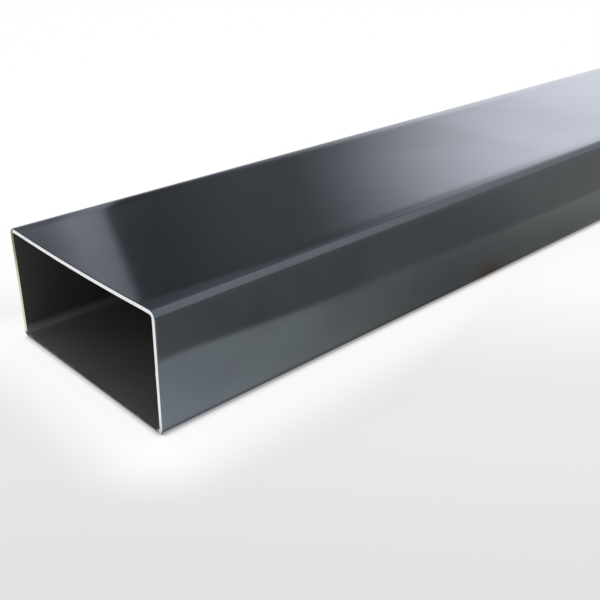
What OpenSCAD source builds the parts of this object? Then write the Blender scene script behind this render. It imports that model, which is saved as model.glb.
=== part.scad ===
// Rectangular stainless steel box section, seam welded, cut square to a stock length.
// It lies on its wide face: X runs along the length, Y across the width and Z up.
// The origin is the centre of the underside. All sizes are in millimetres.

/* [Section] */
// Outside width of the section, along Y
section_w = 100; // [60:1:200]
// Outside height of the section, along Z
section_h = 50; // [30:1:120]
// Wall thickness
wall_t = 2; // [1:0.1:4]
// Inside radius of the four formed corners
corner_in = 1; // [0.5:0.1:8]
// Depth of the shallow hollow that forming leaves along the upper wall
hollow_depth = 0.8; // [0.2:0.05:1.5]
// Flat strip between the hollow and each corner's round
hollow_margin = 4; // [1:0.5:10]

/* [Length] */
// Cut length of the bar, along X
bar_length = 1000; // [300:10:6000]

/* [Cut ends] */
// Chamfer that deburring leaves on the outside edge of each end
deburr_out = 0.3; // [0.1:0.05:0.5]
// Chamfer that deburring leaves on the inside edge of each end
deburr_in = 0.2; // [0.1:0.05:0.5]

/* [Weld seam] */
// Width of the weld bead left inside, where it meets the wall
bead_w = 5; // [3:0.5:8]
// Height of the weld bead above the inside of the wall
bead_h = 0.5; // [0.2:0.1:1]
// Height of the seam above the middle of its side wall
seam_offset = 0; // [-6:0.5:6]

/* [Hidden] */

$fn = 96;
steel = [0.36, 0.38, 0.41];
half_length = bar_length / 2;
bore_w = section_w - 2 * wall_t;
bore_h = section_h - 2 * wall_t;
// Outside radius of the formed corners
corner_out = corner_in + wall_t;
// The bore's cutter runs on this far past each cut end
cutter_run_on = 1;
// A circle of this radius has a cap bead_w wide and bead_h high
bead_r = (bead_w * bead_w / 4 + bead_h * bead_h) / (2 * bead_h);
// The bead reaches this far into the wall, so that the two are one piece
bead_root = wall_t / 2;
// The hollow's width between its two edges, and the radius that it is rolled to
hollow_w = section_w - 2 * corner_out - 2 * hollow_margin;
hollow_r = (hollow_w * hollow_w / 4 + hollow_depth * hollow_depth) / (2 * hollow_depth);
// Width of a facet on the roll, and how many it takes to go round
facet_w = 3;
roll_fn = ceil(2 * PI * hollow_r / facet_w);

// One long edge of a bar, as points [x, distance from the middle]. At each cut end it
// slopes at 45 degrees by slope: inwards where that is negative and outwards where it is
// positive, and it keeps that slope for run_on past the end.
function long_edge(reach, slope, run_on) =
    let (tip = reach + sign(slope) * (abs(slope) + run_on))
    [
        [-half_length - run_on, tip],
        [-half_length + abs(slope), reach],
        [half_length - abs(slope), reach],
        [half_length + run_on, tip]
    ];

// The same edge mirrored to the other side of the middle, read backwards
function mirrored(points) = [for (i = [len(points) - 1:-1:0]) [points[i][0], -points[i][1]]];

// A plate through the middle of a bar, with sloped ends on its two long edges
module plate(width, thickness, slope, run_on) {
    edge = long_edge(width / 2, slope, run_on);
    linear_extrude(height = thickness, center = true)
        polygon(concat(edge, mirrored(edge)));
}

// The round post along one corner of a bar, with sloped ends
module corner_post(radius, slope, run_on) {
    edge = long_edge(radius, slope, run_on);
    first = [edge[0][0], 0];
    last = [edge[len(edge) - 1][0], 0];
    rotate([0, 90, 0])
        rotate_extrude()
            polygon([for (p = concat([first], edge, [last])) [p[1], p[0]]]);
}

// A solid bar with round corners along X, centred on the origin
module round_cornered_bar(width, height, radius, slope, run_on = 0) {
    plate(width, height - 2 * radius, slope, run_on);
    rotate([90, 0, 0])
        plate(height, width - 2 * radius, slope, run_on);
    for (side = [-1, 1], level = [-1, 1])
        translate([0, side * (width / 2 - radius), level * (height / 2 - radius)])
            corner_post(radius, slope, run_on);
}

// The roll that presses the hollow: its lowest line lies hollow_depth below level
module hollow_roll(radius, level, slope) {
    translate([0, 0, level - hollow_depth + hollow_r])
        corner_post(radius, slope, cutter_run_on, $fn = roll_fn);
}

// The weld bead's section: a low cap on the wall at Y 0, rising towards +Y
module bead_section() {
    intersection() {
        translate([0, bead_h - bead_r])
            circle(r = bead_r);
        translate([-bead_w, -bead_root])
            square([2 * bead_w, bead_root + bead_h]);
    }
}

// The weld bead along the inside of one side wall, up to the deburred edges
module weld_bead() {
    translate([0, -bore_w / 2, seam_offset])
        rotate([90, 0, 90])
            rotate(-90)
                linear_extrude(height = bar_length - 2 * deburr_in, center = true)
                    bead_section();
}

// The whole bar, lying on its wide face
module box_section() {
    color(steel)
        translate([0, 0, section_h / 2]) {
            difference() {
                round_cornered_bar(section_w, section_h, corner_out, -deburr_out);
                hollow_roll(hollow_r, section_h / 2, deburr_out);
                difference() {
                    round_cornered_bar(bore_w, bore_h, corner_in, deburr_in, cutter_run_on);
                    hollow_roll(hollow_r + wall_t, section_h / 2, -deburr_in);
                }
            }
            weld_bead();
        }
}

box_section();
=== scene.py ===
"""Dresses the stainless steel box section in its real surfaces and sets it in a pale studio.

The bar's walls, its cut ends and the weld inside it are modelled over the frame's node, and each surface
gets the finish that the real one has. Lengths are in metres, in the frame's axes: X runs along the bar,
Y across it and Z up from the floor.
"""

import logging
import math
from collections.abc import Callable, Iterator, Sequence
from contextlib import contextmanager
from dataclasses import dataclass, field
from enum import Enum, IntEnum

import bmesh
import bpy
from mathutils import Matrix, Vector


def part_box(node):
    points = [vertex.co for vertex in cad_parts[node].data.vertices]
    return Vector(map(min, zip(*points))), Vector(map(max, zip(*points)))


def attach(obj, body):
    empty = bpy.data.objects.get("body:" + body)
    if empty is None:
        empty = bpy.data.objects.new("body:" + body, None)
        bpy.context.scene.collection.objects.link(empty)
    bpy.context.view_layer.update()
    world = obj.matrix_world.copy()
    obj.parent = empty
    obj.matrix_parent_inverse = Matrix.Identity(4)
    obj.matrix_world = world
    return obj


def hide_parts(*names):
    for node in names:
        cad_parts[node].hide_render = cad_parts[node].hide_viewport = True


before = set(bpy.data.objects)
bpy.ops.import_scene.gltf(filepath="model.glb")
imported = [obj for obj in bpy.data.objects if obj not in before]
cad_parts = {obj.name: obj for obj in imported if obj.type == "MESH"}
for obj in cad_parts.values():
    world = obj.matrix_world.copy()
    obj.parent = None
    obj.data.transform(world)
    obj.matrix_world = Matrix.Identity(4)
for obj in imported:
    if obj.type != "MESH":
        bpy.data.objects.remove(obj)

MM = 0.001
# Points this near to a place count as on it
ON_IT = 0.1 * MM
# Points this near to each other become one
MERGED = 0.02 * MM
NODE = "box_section"
BODY = "root"
WHITE = "#ffffff"
LOG = logging.getLogger("scene")

Tree = bpy.types.NodeTree
Socket = bpy.types.NodeSocket
Outputs = bpy.types.NodeOutputs
# A colour, as sRGB hex or as the output that gives it
Paint = Socket | str
# What a shader's sockets get
Feeds = dict[str, Socket | float]


class Surface(IntEnum):
    """The bar's material slots, in the order in which a wall's thickness is given to its shell."""

    SKIN = 0
    BORE = 1
    CUT = 2


class Axis(Enum):
    """The frame's axes, as the normals of cutting planes."""

    ALONG = (1.0, 0.0, 0.0)
    ACROSS = (0.0, 1.0, 0.0)
    UP = (0.0, 0.0, 1.0)


@dataclass(frozen=True)
class Ramp:
    """A smooth change from one level to another, as a value goes from start to stop."""

    start: float
    stop: float
    before: float = 0.0
    after: float = 1.0


def linear(code: str) -> tuple[float, float, float, float]:
    """Turns an sRGB hex colour into the linear one that a shader takes.

    Args:
        code: The colour, such as "#6e747c".

    Returns:
        Red, green, blue and an alpha of 1.
    """
    channels = (int(code[i : i + 2], 16) / 255 for i in (1, 3, 5))
    red, green, blue = (c / 12.92 if c <= 0.04045 else ((c + 0.055) / 1.055) ** 2.4 for c in channels)
    return red, green, blue, 1.0


def add_node(tree: Tree, kind: str, inputs: Sequence | dict = (), **settings: str) -> Outputs:
    """Adds a node with its settings, its constants and its links.

    Args:
        tree: The tree that gets the node.
        kind: The node's type, without the word that all shader types start with.
        inputs: What the sockets get, in their order or by their names or numbers: for each the constant
            that it holds or the output that feeds it.
        **settings: The node's own properties.

    Returns:
        The new node's outputs.
    """
    node = tree.nodes.new("ShaderNode" + kind)
    for name, value in settings.items():
        setattr(node, name, value)
    for socket, value in inputs.items() if isinstance(inputs, dict) else enumerate(inputs):
        if isinstance(value, Socket):
            tree.links.new(value, node.inputs[socket])
        else:
            node.inputs[socket].default_value = value
    return node.outputs


def ramped(tree: Tree, value: Socket, *ramps: Ramp) -> Socket:
    """Reads a value through one or more ramps and adds up the levels that they give.

    Args:
        tree: The tree that gets the nodes.
        value: The value that is read.
        *ramps: The ramps.

    Returns:
        The level.
    """
    settings = [{"Value": value, "From Min": ramp.start, "From Max": ramp.stop, "To Min": ramp.before,
                 "To Max": ramp.after} for ramp in ramps]
    level, *others = (add_node(tree, "MapRange", inputs, interpolation_type="SMOOTHSTEP")[0]
                      for inputs in settings)
    for more in others:
        level = add_node(tree, "Math", [level, more], operation="ADD")[0]
    return level


def coated(tree: Tree, base: Paint, *coats: tuple[Socket, Paint]) -> Socket:
    """Lays coats of colour over a base, each as strongly as its share.

    Args:
        tree: The tree that gets the nodes.
        base: The colour under the coats.
        *coats: For each coat its share, from 0 to 1, and its colour.

    Returns:
        The colour that shows.
    """
    colour = base
    for share, coat in coats:
        under, over = (linear(paint) if isinstance(paint, str) else paint for paint in (colour, coat))
        # The mix node's colour sockets are its seventh and eighth, and its colour result is the third
        colour = add_node(tree, "Mix", {0: share, 6: under, 7: over}, data_type="RGBA")[2]
    return colour


@dataclass(frozen=True)
class SectionSizes:
    """The section's sizes: the outer three are the frame's, and the rest are the stock's own."""

    length: float
    width: float
    height: float
    wall: float = 2.0 * MM
    corner: float = 3.0 * MM
    hollow_depth: float = 0.8 * MM
    hollow_margin: float = 4.0 * MM
    deburr_out: float = 0.3 * MM
    deburr_in: float = 0.2 * MM
    bead_width: float = 5.0 * MM
    bead_height: float = 0.5 * MM

    @classmethod
    def of_frame(cls) -> "SectionSizes":
        """Reads the bar's length, width and height off the frame's node."""
        low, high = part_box(NODE)
        return cls(*(top - bottom for bottom, top in zip(low, high)))


class Workpiece:
    """A mesh on the bench: operators shape it, and its parts are picked by place or normal."""

    def __init__(self, name: str) -> None:
        """Takes up the primitive that was just added.

        Args:
            name: The piece's name.
        """
        bpy.ops.object.transform_apply(location=True, rotation=True, scale=True)
        self.obj: bpy.types.Object = bpy.context.active_object
        self.obj.name = self.obj.data.name = name

    @contextmanager
    def edit(self, picking: str = "FACE") -> Iterator[None]:
        """Opens the mesh in edit mode, with faces, edges or points to be picked.

        Args:
            picking: What is picked: FACE, EDGE or VERT.
        """
        bpy.ops.object.mode_set(mode="EDIT")
        bpy.ops.mesh.select_mode(type=picking)
        yield
        bpy.ops.object.mode_set(mode="OBJECT")

    def pick(self, kind: str, wanted: Callable[..., bool]) -> None:
        """Selects only the faces, edges or verts that a test wants.

        Args:
            kind: Which of the mesh's parts are tested: faces, edges or verts.
            wanted: Tells for one part whether it is selected.
        """
        bpy.ops.mesh.select_all(action="DESELECT")
        mesh = bmesh.from_edit_mesh(self.obj.data)
        for part in getattr(mesh, kind):
            if wanted(part):
                part.select_set(True)
        bmesh.update_edit_mesh(self.obj.data)

    def cut_lines(self, axis: Axis, first: float, last: float, count: int) -> None:
        """Cuts evenly spaced lines round the whole mesh, square to an axis.

        Args:
            axis: The axis that the cutting planes are square to.
            first: The first plane's place on it.
            last: The last plane's place on it.
            count: How many planes there are.
        """
        normal = Vector(axis.value)
        for step in range(count):
            place = first + (last - first) * step / (count - 1)
            bpy.ops.mesh.select_all(action="SELECT")
            bpy.ops.mesh.bisect(plane_co=normal * place, plane_no=normal, threshold=ON_IT / 10)

    def unevenness(self, depth: float, grain: float, points: str = "") -> None:
        """Presses the surface in unevenly, by up to a depth and never out.

        Args:
            depth: The deepest that a point goes in.
            grain: The size of the patches.
            points: The vertex group that is pressed, or nothing for all.
        """
        clouds = bpy.data.textures.new(self.obj.name + "_unevenness", type="CLOUDS")
        clouds.noise_scale = grain
        press = self.obj.modifiers.new("unevenness", "DISPLACE")
        press.texture = clouds
        press.texture_coords = "LOCAL"
        press.strength = depth
        press.mid_level = 1.0
        press.vertex_group = points
        bpy.ops.object.modifier_apply(modifier=press.name)

    def finish(self, materials: list[bpy.types.Material], smooth_below: float) -> None:
        """Shades the mesh, gives it its materials and lets it ride on the bar's body.

        Args:
            materials: One material for each slot.
            smooth_below: Edges that turn less than this many degrees are shaded smooth.
        """
        bpy.ops.object.shade_smooth_by_angle(angle=math.radians(smooth_below))
        slots = self.obj.data.materials
        for number, material in enumerate(materials):
            if number < len(slots):
                slots[number] = material
            else:
                slots.append(material)
        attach(self.obj, BODY)
        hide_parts(NODE)
        LOG.info("%s: %d faces", self.obj.name, len(self.obj.data.polygons))


@dataclass(frozen=True)
class Grain:
    """The faint lines that the rolls leave along the bar."""

    width: float
    length: float
    depth: float
    strength: float
    detail: float = 2.0

    def draw(self, tree: Tree, place: Socket) -> tuple[Socket, Socket]:
        """Draws the lines and gives the surface their depth.

        Args:
            tree: The material's tree.
            place: The point that is shaded.

        Returns:
            The lines' height, from 0 to 1, and the normal that they give.
        """
        scale = (1 / self.length, 1 / self.width, 1 / self.width)
        stretched = add_node(tree, "Mapping", {"Vector": place, "Scale": scale})[0]
        lines = add_node(tree, "TexNoise", {"Vector": stretched, "Scale": 1.0, "Detail": self.detail})[0]
        relief = {"Height": lines, "Strength": self.strength, "Distance": self.depth}
        return lines, add_node(tree, "Bump", relief)[0]


@dataclass(frozen=True)
class MetalFinish:
    """A bare metal surface. Each kind says what colour, roughness and relief its shader gets."""

    name: str

    def material(self, sizes: SectionSizes) -> bpy.types.Material:
        """Makes the material.

        Args:
            sizes: The section's sizes.

        Returns:
            The finished material.
        """
        material = bpy.data.materials.new(self.name)
        material.use_nodes = True
        tree = material.node_tree
        tree.nodes.clear()
        surface = self.surface(tree, add_node(tree, "TexCoord")["Object"], sizes)
        shader = add_node(tree, "BsdfPrincipled", {"Metallic": 1.0} | surface)[0]
        add_node(tree, "OutputMaterial", {"Surface": shader})
        return material

    def surface(self, tree: Tree, place: Socket, sizes: SectionSizes) -> Feeds:
        """Builds the surface's patterns.

        Args:
            tree: The material's tree.
            place: The point that is shaded, in the frame.
            sizes: The section's sizes, for where its corners, rims and weld are.

        Returns:
            What the shader's sockets get.
        """
        raise NotImplementedError


@dataclass(frozen=True)
class RolledSkin(MetalFinish):
    """Bright cold-rolled stainless strip as the tube mill leaves it: smooth and nearly a mirror.

    To the eye it is a dark blue-grey that takes its tones from what it mirrors, with faint lines along the
    length from the rolls, cloudy patches of drawing oil, and formed corners that are paler and duller from
    handling. One small rust stain sits low on the seam's side.
    """

    name: str = "cold_rolled_stainless_steel"
    steel: str = "#6d757e"
    oil: str = "#646b74"
    polish: str = "#797f87"
    stain: str = "#6e5746"
    roughness: float = 0.05
    cloud_roughness: float = 0.04
    stain_roughness: float = 0.3
    corner_roughness: float = 0.09
    corner_polish: float = 0.5
    grain: Grain = Grain(width=0.9 * MM, length=300 * MM, depth=0.003 * MM, strength=0.2)
    lined: Ramp = Ramp(0.55, 0.8, after=0.3)
    patch: float = 70 * MM
    patch_detail: float = 3.0
    oily: Ramp = Ramp(0.42, 0.68)
    stain_at: tuple[float, float, float] = (-305 * MM, -50 * MM, 4 * MM)
    stain_reach: tuple[float, float, float] = (20 * MM, 6 * MM, 9 * MM)
    stain_grain: float = 5 * MM
    stain_detail: float = 4.0
    stain_raggedness: float = 0.8
    stained: Ramp = Ramp(1.3, 0.5, after=0.8)
    # The corners' wear by how far in from the outside it begins and is full, in corner radii
    wear_begins: float = 2.0
    wear_full: float = 0.5

    def surface(self, tree: Tree, place: Socket, sizes: SectionSizes) -> Feeds:
        """Builds the rolls' lines, the oil, the rust and the worn corners.

        Args:
            tree: The material's tree.
            place: The point that is shaded.
            sizes: The section's sizes, for where its corners are.

        Returns:
            What the shader's sockets get.
        """
        lines, normal = self.grain.draw(tree, place)
        patches = {"Vector": place, "Scale": 1 / self.patch, "Detail": self.patch_detail}
        clouds = add_node(tree, "TexNoise", patches)[0]
        stain = self.stain_mask(tree, place)
        corners = self.corner_mask(tree, place, sizes)
        polished = add_node(tree, "Math", [corners, self.corner_polish], operation="MULTIPLY")[0]
        colour = coated(tree, self.steel, (ramped(tree, clouds, self.oily), self.oil),
                        (ramped(tree, lines, self.lined), self.polish), (polished, self.polish),
                        (stain, self.stain))
        rough = self.roughness
        # Rust is matt, and handling leaves fine scratches on the corners, which spread what they mirror
        for mask, more in ((clouds, self.cloud_roughness), (stain, self.stain_roughness),
                           (corners, self.corner_roughness)):
            rough = add_node(tree, "Math", [mask, more, rough], operation="MULTIPLY_ADD")[0]
        return {"Base Color": colour, "Roughness": rough, "Normal": normal}

    def stain_mask(self, tree: Tree, place: Socket) -> Socket:
        """Masks the one small rust stain low on the seam side's wall, broken up by noise.

        Args:
            tree: The material's tree.
            place: The point that is shaded.

        Returns:
            How much of the stain shows, from 0 to 1.
        """
        inputs = {"Vector": place, "Location": self.stain_at, "Scale": self.stain_reach}
        centred = add_node(tree, "Mapping", inputs, vector_type="TEXTURE")[0]
        reach = add_node(tree, "VectorMath", [centred], operation="LENGTH")["Value"]
        specks = {"Vector": place, "Scale": 1 / self.stain_grain, "Detail": self.stain_detail}
        broken = add_node(tree, "TexNoise", specks)[0]
        ragged = [broken, self.stain_raggedness, reach]
        return ramped(tree, add_node(tree, "Math", ragged, operation="MULTIPLY_ADD")[0], self.stained)

    def corner_mask(self, tree: Tree, place: Socket, sizes: SectionSizes) -> Socket:
        """Masks the four formed corners, which handling wears most.

        Args:
            tree: The material's tree.
            place: The point that is shaded.
            sizes: The section's sizes.

        Returns:
            1 on the corners' rounds, fading to 0 on the flats beside them.
        """
        parts = add_node(tree, "SeparateXYZ", [place])
        off_middle = add_node(tree, "Math", [parts["Z"], sizes.height / 2], operation="SUBTRACT")[0]
        begins, full = (radii * sizes.corner for radii in (self.wear_begins, self.wear_full))
        nearness = []
        for off, half in ((parts["Y"], sizes.width / 2), (off_middle, sizes.height / 2)):
            off = add_node(tree, "Math", [off], operation="ABSOLUTE")[0]
            nearness.append(ramped(tree, off, Ramp(half - begins, half - full)))
        return add_node(tree, "Math", nearness, operation="MULTIPLY")[0]


@dataclass(frozen=True)
class SawnEnd(MetalFinish):
    """Freshly sawn and deburred stainless steel: bare, bright and nearly white beside the dark walls.

    To the eye it is a thin white rim with faint saw marks across it. Painted shade darkens it along the
    base, most at the inner edge, and it turns pale yellow and then olive up the far side.
    """

    name: str = "sawn_stainless_steel"
    steel: str = "#f3f3f6"
    blotch: str = "#b9bcbf"
    # Painted shade, laid on the lower rim towards its inner edge
    low_rim_shade: str = "#3f4140"
    pale: str = "#e2dec4"
    olive: str = "#86866e"
    roughness: float = 0.42
    # Real saw marks are under 1 mm apart, too fine to show, so they are drawn coarser
    mark_spacing: float = 4.4 * MM
    mark_depth: float = 0.03 * MM
    mark_strength: float = 0.4
    mark_waver: float = 4.0
    mark_detail: float = 2.0
    mark_detail_scale: float = 1.5
    # A diagonal wave turns by this many radians a metre at a scale of 1
    wave_rate: float = 10.0
    blotch_size: float = 4 * MM
    blotch_detail: float = 4.0
    blotched: Ramp = Ramp(0.5, 0.8, after=0.35)
    shade_breakup: Ramp = Ramp(0.3, 0.5, 0.8, 1.0)
    rim_fade: float = 1 * MM
    # The painted shade is full from this share of the lower wall's thickness up
    shade_foot: float = 0.8
    # The far side turns olive between these shares of the height
    olive_from: float = 0.5
    olive_to: float = 0.9

    def surface(self, tree: Tree, place: Socket, sizes: SectionSizes) -> Feeds:
        """Builds the saw marks, the blotches, the painted shade along the base and the far side's colours.

        Args:
            tree: The material's tree.
            place: The point that is shaded.
            sizes: The section's sizes, for where the rim is.

        Returns:
            What the shader's sockets get.
        """
        waves = {"Vector": place, "Scale": 2 * math.pi / (self.wave_rate * self.mark_spacing),
                 "Distortion": self.mark_waver, "Detail": self.mark_detail,
                 "Detail Scale": self.mark_detail_scale}
        marks = add_node(tree, "TexWave", waves, bands_direction="DIAGONAL")["Fac"]
        noise = {"Vector": place, "Scale": 1 / self.blotch_size, "Detail": self.blotch_detail}
        blotches = add_node(tree, "TexNoise", noise)[0]
        parts = add_node(tree, "SeparateXYZ", [place])
        side, wall = sizes.width / 2, sizes.wall
        # Painted shade: the lower rim darkens towards its inner edge, broken up by blotches, not at the near
        # side
        dull = ramped(tree, blotches, self.shade_breakup)
        for part, ramp in ((parts["Z"], Ramp(wall + self.rim_fade, wall)),
                           (parts["Z"], Ramp(0.0, wall * self.shade_foot)),
                           (parts["Y"], Ramp(wall - side, 2 * wall - side))):
            dull = add_node(tree, "Math", [dull, ramped(tree, part, ramp)], operation="MULTIPLY")[0]
        far = ramped(tree, parts["Y"], Ramp(side - wall - self.rim_fade, side - wall))
        rising = Ramp(sizes.height * self.olive_from, sizes.height * self.olive_to)
        oiled = coated(tree, self.pale, (ramped(tree, parts["Z"], rising), self.olive))
        colour = coated(tree, self.steel, (ramped(tree, blotches, self.blotched), self.blotch), (far, oiled),
                        (dull, self.low_rim_shade))
        relief = {"Height": marks, "Strength": self.mark_strength, "Distance": self.mark_depth}
        return {"Base Color": colour, "Roughness": self.roughness,
                "Normal": add_node(tree, "Bump", relief)[0]}


@dataclass(frozen=True)
class BoreSkin(MetalFinish):
    """The inside face of the strip, never polished after forming: darker and duller than the outside.

    To the eye it is nearly black a little way in, under a film of dried oil, with lines along the length, a
    band of straw and blue heat tint on either side of the weld, and painted light that pales the lower wall,
    most in its two inner corners.
    """

    name: str = "oiled_stainless_steel_bore"
    steel: str = "#747676"
    film: str = "#686763"
    straw: str = "#8c7d60"
    blue: str = "#667088"
    # Painted light, which pales the lower wall
    painted_light: str = "#acaeac"
    roughness: float = 0.5
    cloud_roughness: float = 0.15
    grain: Grain = Grain(width=1.2 * MM, length=240 * MM, depth=0.01 * MM, strength=0.3)
    patch: float = 40 * MM
    patch_detail: float = 4.0
    filmed: Ramp = Ramp(0.35, 0.7)
    # The heat tints by their distance from the seam, which wanders by up to this much
    tint_wander: float = 2 * MM
    strawed: Ramp = Ramp(10 * MM, 5 * MM, after=0.8)
    blued: Ramp = Ramp(7 * MM, 3 * MM, after=0.8)
    # The seam's wall ends this far in from its outside
    seam_wall: float = 4 * MM
    # Painted light by its height over the lower wall, and by its distance from a lower inner corner
    painted_low: Ramp = Ramp(1.2 * MM, 0.6 * MM, after=0.8)
    painted_corners: Ramp = Ramp(4.8 * MM, 1.2 * MM)

    def surface(self, tree: Tree, place: Socket, sizes: SectionSizes) -> Feeds:
        """Builds the rolls' lines, the oil film, the heat tints and the painted light on the lower wall.

        Args:
            tree: The material's tree.
            place: The point that is shaded.
            sizes: The section's sizes, for where the weld and the inner corners are.

        Returns:
            What the shader's sockets get.
        """
        _, normal = self.grain.draw(tree, place)
        patches = {"Vector": place, "Scale": 1 / self.patch, "Detail": self.patch_detail}
        clouds = add_node(tree, "TexNoise", patches)[0]
        parts = add_node(tree, "SeparateXYZ", [place])
        straw, blue = self.heat_tints(tree, parts, clouds, sizes)
        colour = coated(tree, self.steel, (ramped(tree, clouds, self.filmed), self.film), (straw, self.straw),
                        (blue, self.blue), (self.painted_light_mask(tree, parts, sizes), self.painted_light))
        roughness = [clouds, self.cloud_roughness, self.roughness]
        rough = add_node(tree, "Math", roughness, operation="MULTIPLY_ADD")[0]
        return {"Base Color": colour, "Roughness": rough, "Normal": normal}

    def heat_tints(self, tree: Tree, parts: Outputs, clouds: Socket, sizes: SectionSizes) -> list[Socket]:
        """Masks the two bands of colour that welding leaves beside the seam.

        Args:
            tree: The material's tree.
            parts: The shaded point's X, Y and Z.
            clouds: The noise that the bands wander by.
            sizes: The section's sizes.

        Returns:
            How much of the straw and of the blue shows.
        """
        over_seam = add_node(tree, "Math", [parts["Z"], sizes.height / 2], operation="SUBTRACT")[0]
        from_seam = add_node(tree, "Math", [over_seam], operation="ABSOLUTE")[0]
        wander = [clouds, self.tint_wander, from_seam]
        from_seam = add_node(tree, "Math", wander, operation="MULTIPLY_ADD")[0]
        inside = self.seam_wall - sizes.width / 2
        on_wall = ramped(tree, parts["Y"], Ramp(inside, inside - MM))
        return [add_node(tree, "Math", [on_wall, ramped(tree, from_seam, tint)], operation="MULTIPLY")[0]
                for tint in (self.strawed, self.blued)]

    def painted_light_mask(self, tree: Tree, parts: Outputs, sizes: SectionSizes) -> Socket:
        """Masks the painted light on the lower wall, which is strongest along its two inner corners.

        Args:
            tree: The material's tree.
            parts: The shaded point's X, Y and Z.
            sizes: The section's sizes.

        Returns:
            How much of the painted light shows.
        """
        lowest = add_node(tree, "Math", [parts["Z"], sizes.wall], operation="SUBTRACT")[0]
        aside = add_node(tree, "Math", [parts["Y"]], operation="ABSOLUTE")[0]
        inside = add_node(tree, "Math", [sizes.width / 2 - sizes.wall, aside], operation="SUBTRACT")[0]
        off_corner = add_node(tree, "CombineXYZ", {"Y": inside, "Z": lowest})[0]
        off_corner = add_node(tree, "VectorMath", [off_corner], operation="LENGTH")["Value"]
        # Painted light: the whole lower wall, and most along its two inner corners
        painted_light = [ramped(tree, lowest, self.painted_low), ramped(tree, off_corner, self.painted_corners)]
        return add_node(tree, "Math", painted_light, operation="MAXIMUM")[0]


@dataclass(frozen=True)
class BeadSkin(MetalFinish):
    """Stainless weld metal as it froze: a pewter-grey ribbon, heat-tinted a dull blue in places.

    To the eye it is softly mottled and duller than the rolled strip, with fine pits.
    """

    name: str = "stainless_steel_weld"
    metal: str = "#b3aea4"
    tint: str = "#8c8a94"
    roughness: float = 0.34
    patch_roughness: float = 0.2
    patch: float = 12 * MM
    patch_detail: float = 5.0
    tinted: Ramp = Ramp(0.4, 0.65)
    pit_depth: float = 0.02 * MM
    pit_strength: float = 0.3

    def surface(self, tree: Tree, place: Socket, sizes: SectionSizes) -> Feeds:
        """Builds the tinted patches and the pits.

        Args:
            tree: The material's tree.
            place: The point that is shaded.
            sizes: The section's sizes, which are not used: the bead's patterns don't follow them.

        Returns:
            What the shader's sockets get.
        """
        noise = {"Vector": place, "Scale": 1 / self.patch, "Detail": self.patch_detail}
        patches = add_node(tree, "TexNoise", noise)[0]
        roughness = [patches, self.patch_roughness, self.roughness]
        relief = {"Height": patches, "Strength": self.pit_strength, "Distance": self.pit_depth}
        return {"Base Color": coated(tree, self.metal, (ramped(tree, patches, self.tinted), self.tint)),
                "Roughness": add_node(tree, "Math", roughness, operation="MULTIPLY_ADD")[0],
                "Normal": add_node(tree, "Bump", relief)[0]}


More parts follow.
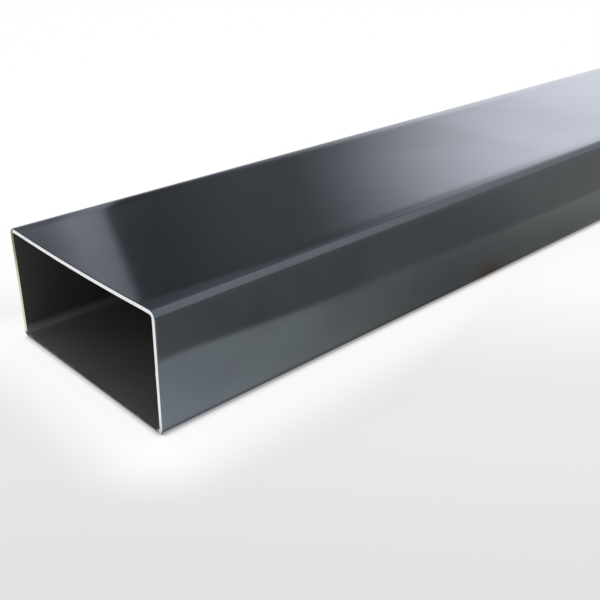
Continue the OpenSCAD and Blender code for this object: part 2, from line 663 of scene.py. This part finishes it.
@dataclass
class BoxSection:
    """The bar itself: a shell with formed corners and a hollowed upper wall, cut square at both ends."""

    sizes: SectionSizes
    skin: RolledSkin = field(default_factory=RolledSkin)
    bore: BoreSkin = field(default_factory=BoreSkin)
    end: SawnEnd = field(default_factory=SawnEnd)
    corner_steps: int = 10
    lines_across: int = 41
    lines_up: int = 17
    lines_along: int = 51
    # The first line stands this far off a corner's round, and this far off a cut end
    off_corner: float = 1 * MM
    off_end: float = 4 * MM
    wave_depth: float = 0.08 * MM
    wave_length: float = 90 * MM
    rim_depth: float = 0.07 * MM
    rim_grain: float = 3 * MM
    smooth_below: float = 30

    def build(self) -> bpy.types.Object:
        """Builds the bar as one closed mesh.

        Returns:
            The finished piece.
        """
        piece = self.open_shell()
        self.press_hollow(piece)
        piece.unevenness(self.wave_depth, self.wave_length)
        self.thicken(piece)
        self.deburr(piece)
        self.roughen_rims(piece)
        finishes = (self.skin, self.bore, self.end)
        piece.finish([finish.material(self.sizes) for finish in finishes], self.smooth_below)
        return piece.obj

    def open_shell(self) -> Workpiece:
        """Folds the strip: a block without its ends, its long edges rounded and its walls lined.

        Returns:
            The open shell, without thickness.
        """
        size = self.sizes
        bpy.ops.mesh.primitive_cube_add(size=1, location=(0, 0, size.height / 2),
                                        scale=(size.length, size.width, size.height))
        piece = Workpiece("box_section_bar")
        with piece.edit():
            piece.pick("faces", lambda face: abs(face.normal.x) > abs(face.normal.y) + abs(face.normal.z))
            bpy.ops.mesh.delete(type="FACE")
        with piece.edit("EDGE"):
            piece.pick("edges", lambda edge: edge.calc_length() > size.length / 2)
            bpy.ops.mesh.bevel(offset=size.corner, segments=self.corner_steps, affect="EDGES")
            margin = size.corner + self.off_corner
            piece.cut_lines(Axis.ACROSS, margin - size.width / 2, size.width / 2 - margin, self.lines_across)
            piece.cut_lines(Axis.UP, margin, size.height - margin, self.lines_up)
            end = size.length / 2 - self.off_end
            piece.cut_lines(Axis.ALONG, -end, end, self.lines_along)
        return piece

    def press_hollow(self, piece: Workpiece) -> None:
        """Presses the upper wall's shallow hollow along its middle line.

        Args:
            piece: The open shell.
        """
        size = self.sizes
        reach = size.width / 2 - size.corner - size.hollow_margin
        with piece.edit("VERT"):
            piece.pick("verts", lambda vert: abs(vert.co.y) < ON_IT and vert.co.z > size.height / 2)
            bpy.ops.transform.translate(value=(0, 0, -size.hollow_depth), use_proportional_edit=True,
                                        proportional_edit_falloff="INVERSE_SQUARE", proportional_size=reach)

    def thicken(self, piece: Workpiece) -> None:
        """Gives the walls their thickness, inwards.

        Args:
            piece: The outer shell.
        """
        wall = piece.obj.modifiers.new("wall", "SOLIDIFY")
        wall.thickness = self.sizes.wall
        wall.offset = -1
        wall.use_even_offset = True
        wall.material_offset = Surface.BORE
        wall.material_offset_rim = Surface.CUT
        # The bore and the rims get their slots' numbers only if those slots are there
        for _ in Surface:
            piece.obj.data.materials.append(None)
        bpy.ops.object.modifier_apply(modifier=wall.name)

    def deburr(self, piece: Workpiece) -> None:
        """Takes the sharp edge off both rims, outside and inside.

        Args:
            piece: The walls at their full thickness.
        """
        # The outer edge keeps the dark of the skin and the inner one is bare
        for surface, width, bared in ((Surface.SKIN, self.sizes.deburr_out, Surface.SKIN),
                                      (Surface.BORE, self.sizes.deburr_in, Surface.CUT)):
            meeting = {surface, Surface.CUT}
            with piece.edit("EDGE"):
                piece.pick("edges", lambda edge: {face.material_index for face in edge.link_faces} == meeting)
                bpy.ops.mesh.bevel(offset=width, segments=1, affect="EDGES", material=bared)

    def roughen_rims(self, piece: Workpiece) -> None:
        """Leaves both cut rims slightly uneven, as a saw and a file do.

        Args:
            piece: The deburred bar.
        """
        rim = piece.obj.vertex_groups.new(name="rim")
        cut = [face for face in piece.obj.data.polygons if face.material_index == Surface.CUT]
        rim.add(list({point for face in cut for point in face.vertices}), 1.0, "REPLACE")
        piece.unevenness(self.rim_depth, self.rim_grain, rim.name)


@dataclass
class WeldBead:
    """The weld's inner ribbon, halfway up the near narrow wall: one ripple, repeated along the bar."""

    sizes: SectionSizes
    skin: BeadSkin = field(default_factory=BeadSkin)
    ripple: float = 2.0 * MM
    ripple_height: float = 0.06 * MM
    # Where a ripple starts to rise and where its crest is, as shares of its length
    rise_at: float = 0.35
    crest_at: float = 0.6
    root: float = 0.4 * MM
    facets: int = 72
    waver_depth: float = 0.1 * MM
    waver_length: float = 14 * MM
    smooth_below: float = 60

    def build(self) -> bpy.types.Object:
        """Builds the bead along the whole bore.

        Returns:
            The finished piece.
        """
        size = self.sizes
        wall_face = size.wall - size.width / 2
        radius = (size.bead_width**2 / 4 + size.bead_height**2) / (2 * size.bead_height)
        length = size.length - 2 * size.deburr_in
        ripples = round(length / self.ripple)
        pitch = length / ripples
        bpy.ops.mesh.primitive_cylinder_add(
            vertices=self.facets, radius=radius, depth=pitch, end_fill_type="NOTHING",
            location=((pitch - length) / 2, wall_face + size.bead_height - radius, size.height / 2),
            rotation=(0, math.pi / 2, 0))
        piece = Workpiece("weld_bead")
        with piece.edit("EDGE"):
            bpy.ops.mesh.bisect(plane_co=(0, wall_face - self.root, 0), plane_no=(0, 1, 0), clear_inner=True)
            rise, crest = (share * pitch - length / 2 for share in (self.rise_at, self.crest_at))
            piece.cut_lines(Axis.ALONG, rise, crest, 2)
            piece.pick("verts", lambda vert: abs(vert.co.x - crest) < ON_IT and vert.co.y > wall_face)
            bpy.ops.transform.translate(value=(0, self.ripple_height, 0))
        self.repeat(piece, ripples, pitch)
        piece.unevenness(self.waver_depth, self.waver_length)
        piece.finish([self.skin.material(size)], self.smooth_below)
        return piece.obj

    def repeat(self, piece: Workpiece, ripples: int, pitch: float) -> None:
        """Repeats one ripple along the bore, then closes the bead's root and its two ends.

        Args:
            piece: The first ripple.
            ripples: How many there are.
            pitch: The distance from one to the next.
        """
        row = piece.obj.modifiers.new("row", "ARRAY")
        row.use_relative_offset = False
        row.use_constant_offset = True
        row.constant_offset_displace = (pitch, 0, 0)
        row.count = ripples
        row.use_merge_vertices = True
        row.merge_threshold = MERGED
        bpy.ops.object.modifier_apply(modifier=row.name)
        with piece.edit("EDGE"):
            # The open edges that run along the bar are the root's, and the others are the two ends'
            piece.pick("edges", lambda edge: edge.is_boundary
                       and abs(edge.verts[0].co.x - edge.verts[1].co.x) > MERGED)
            bpy.ops.mesh.bridge_edge_loops()
            bpy.ops.mesh.select_all(action="SELECT")
            bpy.ops.mesh.fill_holes(sides=0)
            bpy.ops.mesh.select_all(action="SELECT")
            bpy.ops.mesh.normals_make_consistent(inside=False)


@dataclass(frozen=True)
class PhotoCamera:
    """The camera: its place off the bar's near end, and its heading from +X, as angles in degrees."""

    sizes: SectionSizes
    back: float = 139.6 * MM
    aside: float = 212.8 * MM
    up: float = 182.6 * MM
    heading: float = 45.95
    downwards: float = 26.97
    roll: float = -0.83
    sensor: float = 36.0
    focal_length: float = 51.89
    nearest: float = 10 * MM

    @property
    def ahead(self) -> Vector:
        """The level direction that the camera faces."""
        heading = math.radians(self.heading)
        return Vector((math.cos(heading), math.sin(heading), 0.0))

    @property
    def eye(self) -> Vector:
        """The camera's place."""
        return Vector((-self.sizes.length / 2 - self.back, -self.sizes.width / 2 - self.aside, self.up))

    def set_up(self) -> None:
        """Adds the camera and makes it the scene's."""
        data = bpy.data.cameras.new("photo_camera")
        data.sensor_width = self.sensor
        data.lens = self.focal_length
        data.clip_start = self.nearest
        camera = bpy.data.objects.new("photo_camera", data)
        # Unturned, the camera looks straight down with its top towards +Y
        turn = (Matrix.Rotation(math.radians(self.heading - 90), 4, "Z")
                @ Matrix.Rotation(math.radians(90 - self.downwards), 4, "X")
                @ Matrix.Rotation(math.radians(-self.roll), 4, "Z"))
        camera.matrix_world = Matrix.Translation(self.eye) @ turn
        bpy.context.scene.collection.objects.link(camera)
        bpy.context.scene.camera = camera
        LOG.info("camera: %.1f mm lens", self.focal_length)


def ray_kinds(tree: Tree) -> tuple[Socket, Socket]:
    """Tells which rays come straight from the camera, and which by way of metal or glass.

    Args:
        tree: The tree that gets the nodes.

    Returns:
        1 for the camera's own rays, and 1 for the mirrored ones.
    """
    rays = add_node(tree, "LightPath")
    glass = [rays["Is Glossy Ray"], rays["Is Transmission Ray"]]
    return rays["Is Camera Ray"], add_node(tree, "Math", glass, operation="MAXIMUM")[0]


def off_footprint(tree: Tree, place: Socket, sizes: SectionSizes) -> Socket:
    """Measures how far a point of the floor is from the bar's footprint.

    Args:
        tree: The floor's tree.
        place: The point that is shaded.
        sizes: The section's sizes.

    Returns:
        The distance, and 0 under the bar.
    """
    aside = add_node(tree, "VectorMath", [place], operation="ABSOLUTE")[0]
    footprint = (sizes.length / 2, sizes.width / 2, 1.0)
    past = add_node(tree, "VectorMath", [aside, footprint], operation="SUBTRACT")[0]
    outside = add_node(tree, "VectorMath", [past, (0.0, 0.0, 0.0)], operation="MAXIMUM")[0]
    return add_node(tree, "VectorMath", [outside], operation="LENGTH")["Value"]


@dataclass(frozen=True)
class MirroredRoom:
    """What bright metal mirrors of the studio, which is most of what the eye sees of it.

    The near wall mirrors a white strip of floor, and past it floor that the studio's lamps leave dark. The
    upper wall mirrors the tent, white low down and dark above, with a pale pane by the near end and the glow
    of a broad window past the far end. Only mirrored rays see these levels.
    """

    sizes: SectionSizes
    paper: str = "#fdfdec"
    tent: str = "#f8f8ff"
    # The white strip's far edge, as its distance from the near wall, by the place along the bar
    strip_edge: tuple[Ramp, ...] = (Ramp(20 * MM, 130 * MM, 44 * MM, 36 * MM),
                                    Ramp(130 * MM, 350 * MM, 0.0, -7 * MM))
    strip_blur: Ramp = Ramp(-2.5 * MM, 2.5 * MM)
    # The strip's level along the bar, and its change from beside the wall to further off
    strip_level: tuple[Ramp, ...] = (Ramp(0.0, 60 * MM, 1.11, 0.88), Ramp(40 * MM, 170 * MM, 0.0, -0.56),
                                     Ramp(200 * MM, 360 * MM, 0.0, 0.22))
    beside: Ramp = Ramp(20 * MM, 80 * MM, 0.98, 0.78)
    away: Ramp = Ramp(20 * MM, 80 * MM, 0.86, 1.03)
    beside_to_away: Ramp = Ramp(5 * MM, 35 * MM)
    # The shade right beside the bar, how it lifts further along, and the light line under the round
    in_shade: Ramp = Ramp(0.4 * MM, 6 * MM, 0.3, 1.0)
    shade_lifts: Ramp = Ramp(120 * MM, 260 * MM, after=0.95)
    under_round: Ramp = Ramp(0.6 * MM, 0.0, after=0.9)
    past_strip: tuple[Ramp, ...] = (Ramp(15 * MM, 80 * MM, 0.34, 0.215), Ramp(200 * MM, 350 * MM, 0.0, 0.12))
    warm_along: Ramp = Ramp(-5 * MM, 100 * MM)
    warm_past: Ramp = Ramp(38 * MM, 48 * MM, after=0.8)
    # The dark upper part of the tent and its pane by heading, in degrees from +X
    dark_tent: tuple[Ramp, ...] = (Ramp(49, 57, 0.17, 0.115), Ramp(58, 64, 0.0, 0.2))
    pane_starts: Ramp = Ramp(58.4, 59.3, after=0.42)
    pane_stops: Ramp = Ramp(63.5, 60.5)
    # Where the tent turns dark and its top a little paler, by the sine of the height over the horizon
    turns_dark: Ramp = Ramp(math.sin(math.radians(14)), math.sin(math.radians(20)))
    top_paler: Ramp = Ramp(math.sin(math.radians(23.2)), math.sin(math.radians(24.8)), after=0.11)
    # The level on the bar's near side, and that side by a direction's Y
    near_level: float = 0.66
    near_side: Ramp = Ramp(0.5, 0.1)
    # The broad window's middle in degrees, and its glow by the cosine of the angle off that
    window_heading: float = 22.0
    window_height: float = 10.0
    glow: Ramp = Ramp(math.cos(math.radians(26)), math.cos(math.radians(5)), after=0.65)

    def floor_light(self, tree: Tree, place: Socket) -> tuple[Socket, Socket]:
        """Gives the mirrored floor its level and its colour, which warms along the bar and past the strip.

        Args:
            tree: The floor's tree.
            place: The point that is shaded.

        Returns:
            The level and the colour.
        """
        parts = add_node(tree, "SeparateXYZ", [place])
        along = add_node(tree, "Math", [parts["X"], self.sizes.length / 2], operation="ADD")[0]
        aside = add_node(tree, "Math", [-self.sizes.width / 2, parts["Y"]], operation="SUBTRACT")[0]
        strip = ramped(tree, along, *self.strip_edge)
        over = add_node(tree, "Math", [aside, strip], operation="SUBTRACT")[0]
        white = self.strip_light(tree, along, off_footprint(tree, place, self.sizes))
        dark = ramped(tree, along, *self.past_strip)
        level = add_node(tree, "Mix", {0: ramped(tree, over, self.strip_blur), 2: white, 3: dark})[0]
        warmths = [ramped(tree, along, self.warm_along), ramped(tree, aside, self.warm_past)]
        warmth = add_node(tree, "Math", warmths, operation="MAXIMUM")[0]
        return level, coated(tree, WHITE, (warmth, self.paper))

    def strip_light(self, tree: Tree, along: Socket, off: Socket) -> Socket:
        """Shapes how bright the white strip beside the bar is.

        Args:
            tree: The floor's tree.
            along: The distance along the bar from its near end.
            off: The distance off the bar's footprint.

        Returns:
            The level of light from each point of the strip.
        """
        changes = {0: ramped(tree, off, self.beside_to_away), 2: ramped(tree, along, self.beside),
                   3: ramped(tree, along, self.away)}
        lifts = [ramped(tree, off, self.in_shade), ramped(tree, along, self.shade_lifts)]
        shade = add_node(tree, "Math", lifts, operation="MAXIMUM")[0]
        level = ramped(tree, along, *self.strip_level)
        for share in (add_node(tree, "Mix", changes)[0], shade):
            level = add_node(tree, "Math", [level, share], operation="MULTIPLY")[0]
        line = ramped(tree, off, self.under_round)
        return add_node(tree, "Math", [level, line], operation="MAXIMUM")[0]

    def tent_light(self, tree: Tree, direction: Socket) -> tuple[Socket, Socket]:
        """Gives the mirrored tent its level and its colour, which is neutral on the near side.

        Args:
            tree: The world's tree.
            direction: The direction that is looked in.

        Returns:
            The level and the colour.
        """
        parts = add_node(tree, "SeparateXYZ", [direction])
        near_side = ramped(tree, parts["Y"], self.near_side)
        heading = add_node(tree, "Math", [parts["Y"], parts["X"]], operation="ARCTAN2")[0]
        heading = add_node(tree, "Math", [heading], operation="DEGREES")[0]
        edges = [ramped(tree, heading, self.pane_starts), ramped(tree, heading, self.pane_stops)]
        above = add_node(tree, "Math", edges, operation="MULTIPLY")[0]
        for more in (ramped(tree, heading, *self.dark_tent), ramped(tree, parts["Z"], self.top_paler)):
            above = add_node(tree, "Math", [above, more], operation="ADD")[0]
        tent = add_node(tree, "Mix", {0: ramped(tree, parts["Z"], self.turns_dark), 2: 1.0, 3: above})[0]
        tent = add_node(tree, "Mix", {0: near_side, 2: tent, 3: self.near_level})[0]
        turn, height = math.radians(self.window_heading), math.radians(self.window_height)
        window = (math.cos(turn) * math.cos(height), math.sin(turn) * math.cos(height), math.sin(height))
        towards = add_node(tree, "VectorMath", [direction, window], operation="DOT_PRODUCT")["Value"]
        level = add_node(tree, "Math", [tent, ramped(tree, towards, self.glow)], operation="ADD")[0]
        return level, coated(tree, self.tent, (near_side, WHITE))


@dataclass
class Studio:
    """A pale floor and an even tent of light, with one soft lamp.

    The floor goes from light grey in front to white behind, close round the bar and beyond the picture.
    """

    camera: PhotoCamera
    front: str = "#e2e4e3"
    grey: str = "#e9eaea"
    # The floor's greys and white by the distance ahead of the camera's foot
    to_grey: Ramp = Ramp(180 * MM, 262 * MM)
    to_white: Ramp = Ramp(275 * MM, 400 * MM)
    # White again by the distance from the camera's foot, and from the bar
    beyond: Ramp = Ramp(450 * MM, 800 * MM)
    halo: Ramp = Ramp(40 * MM, 8 * MM)
    # The bar darkens the paper close to where it stands, by how much of the view it takes
    contact_reach: float = 5 * MM
    contact: Ramp = Ramp(0.05, 0.75, 0.3, 1.0)
    # In front of the open ends less light gets down to the paper
    end_shade: Ramp = Ramp(0.0, 2.1 * MM, 0.6, 1.0)
    floor_size: float = 12.0
    floor_gap: float = 0.02 * MM
    # How much of the lamp's shadow the floor keeps, and the tent's level for matt surfaces
    shadow_share: float = 0.15
    sky: float = 0.95
    lamp_size: float = 0.9
    lamp_power: float = 2.5
    lamp_at: tuple[float, float, float] = (-0.2, -0.7, 1.3)
    lamp_towards: tuple[float, float, float] = (-0.3, 0.0, 0.0)

    def set_up(self) -> None:
        """Adds the floor, the world and the lamp, and sets how colours are shown."""
        bpy.context.scene.view_settings.view_transform = "Standard"
        room = MirroredRoom(self.camera.sizes)
        self.lay_floor(room)
        self.light_world(room)
        self.hang_lamp()
        LOG.info("studio: floor, world and lamp")

    def lay_floor(self, room: MirroredRoom) -> None:
        """Lays the floor, which shows itself as lit but keeps part of the bar's shadow.

        Args:
            room: What the metal mirrors of it.
        """
        bpy.ops.mesh.primitive_plane_add(size=self.floor_size, location=(0, 0, -self.floor_gap))
        floor = bpy.context.active_object
        floor.name = "studio_floor"
        # Matt paper, which has no shine and looks equally pale from all sides
        material = bpy.data.materials.new("matt_paper_floor")
        material.use_nodes = True
        tree = material.node_tree
        tree.nodes.clear()
        place = add_node(tree, "TexCoord")["Object"]
        own, mirrored = ray_kinds(tree)
        colour = self.floor_colour(tree, place)
        matt = add_node(tree, "BsdfDiffuse", {"Color": colour})[0]
        mirrored_level, mirrored_colour = room.floor_light(tree, place)
        levels = {0: mirrored, 2: self.contact_level(tree, place), 3: mirrored_level}
        tinted = coated(tree, colour, (mirrored, mirrored_colour))
        lit = add_node(tree, "Emission", {"Color": tinted, "Strength": add_node(tree, "Mix", levels)[0]})[0]
        seen = add_node(tree, "Math", [own, mirrored], operation="MAXIMUM")[0]
        share = add_node(tree, "Math", [seen, 1 - self.shadow_share], operation="MULTIPLY")[0]
        mixed = add_node(tree, "MixShader", [share, matt, lit])[0]
        add_node(tree, "OutputMaterial", {"Surface": mixed})
        floor.data.materials.append(material)

    def contact_level(self, tree: Tree, place: Socket) -> Socket:
        """Darkens the paper close to where the bar stands, and a little in front of its ends.

        Args:
            tree: The floor's tree.
            place: The point that is shaded.

        Returns:
            The share of light that is left.
        """
        size = self.camera.sizes
        open_view = add_node(tree, "AmbientOcclusion", {"Distance": self.contact_reach})["AO"]
        parts = add_node(tree, "SeparateXYZ", [place])
        masks = []
        # In front of an end is past it along the bar, and across it short of the corners' rounds
        for part, half, ramp in ((parts["X"], size.length / 2, Ramp(-MM, MM)),
                                 (parts["Y"], size.width / 2, Ramp(0.0, -size.corner))):
            off = add_node(tree, "Math", [part], operation="ABSOLUTE")[0]
            past = add_node(tree, "Math", [off, half], operation="SUBTRACT")[0]
            masks.append(ramped(tree, past, ramp))
        before_end = add_node(tree, "Math", masks, operation="MULTIPLY")[0]
        shade = ramped(tree, off_footprint(tree, place, size), self.end_shade)
        shade = add_node(tree, "Mix", {0: before_end, 2: 1.0, 3: shade})[0]
        level = ramped(tree, open_view, self.contact)
        return add_node(tree, "Math", [level, shade], operation="MULTIPLY")[0]

    def floor_colour(self, tree: Tree, place: Socket) -> Socket:
        """Goes from light grey in front to white behind, close round the bar and beyond the picture.

        Args:
            tree: The floor's tree.
            place: The point that is shaded.

        Returns:
            The floor's colour.
        """
        foot = self.camera.eye * Vector((1, 1, 0))
        from_foot = add_node(tree, "VectorMath", [place, foot], operation="SUBTRACT")[0]
        distance = add_node(tree, "VectorMath", [from_foot], operation="LENGTH")["Value"]
        level = [from_foot, self.camera.ahead]
        ahead = add_node(tree, "VectorMath", level, operation="DOT_PRODUCT")["Value"]
        paleness = ramped(tree, ahead, self.to_white)
        off = off_footprint(tree, place, self.camera.sizes)
        for more in (ramped(tree, off, self.halo), ramped(tree, distance, self.beyond)):
            paleness = add_node(tree, "Math", [paleness, more], operation="MAXIMUM")[0]
        return coated(tree, self.front, (ramped(tree, ahead, self.to_grey), self.grey), (paleness, WHITE))

    def light_world(self, room: MirroredRoom) -> None:
        """Lights all round: even for matt surfaces, white behind, and shaped for what metal mirrors.

        Args:
            room: What the metal mirrors of it.
        """
        world = bpy.data.worlds.new("light_tent")
        bpy.context.scene.world = world
        world.use_nodes = True
        tree = world.node_tree
        tree.nodes.clear()
        own, mirrored = ray_kinds(tree)
        level, tint = room.tent_light(tree, add_node(tree, "TexCoord")["Generated"])
        strength = add_node(tree, "Mix", {0: mirrored, 2: self.sky, 3: level})[0]
        strength = add_node(tree, "Mix", {0: own, 2: strength, 3: 1.0})[0]
        colour = coated(tree, WHITE, (mirrored, tint))
        light = add_node(tree, "Background", {"Color": colour, "Strength": strength})[0]
        add_node(tree, "OutputWorld", {"Surface": light})

    def hang_lamp(self) -> None:
        """Hangs one soft lamp over the near side, for a gentle shadow."""
        data = bpy.data.lights.new("soft_lamp", type="AREA")
        data.shape = "SQUARE"
        data.size = self.lamp_size
        data.energy = self.lamp_power
        lamp = bpy.data.objects.new("soft_lamp", data)
        lamp.location = self.lamp_at
        aim = Vector(self.lamp_towards) - lamp.location
        lamp.rotation_euler = aim.to_track_quat("-Z", "Y").to_euler()
        lamp.visible_glossy = False
        bpy.context.scene.collection.objects.link(lamp)


def main() -> None:
    """Builds the bar and its weld, and sets up the studio and the camera."""
    logging.basicConfig(level=logging.INFO, format="%(name)s: %(message)s")
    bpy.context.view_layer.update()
    bpy.ops.object.select_all(action="DESELECT")
    sizes = SectionSizes.of_frame()
    camera = PhotoCamera(sizes)
    camera.set_up()
    bar = BoxSection(sizes).build()
    bpy.ops.object.select_all(action="DESELECT")
    bead = WeldBead(sizes).build()
    LOG.info("pieces: %s, %s", bar.name, bead.name)
    Studio(camera).set_up()


if __name__ == "__main__":
    main()
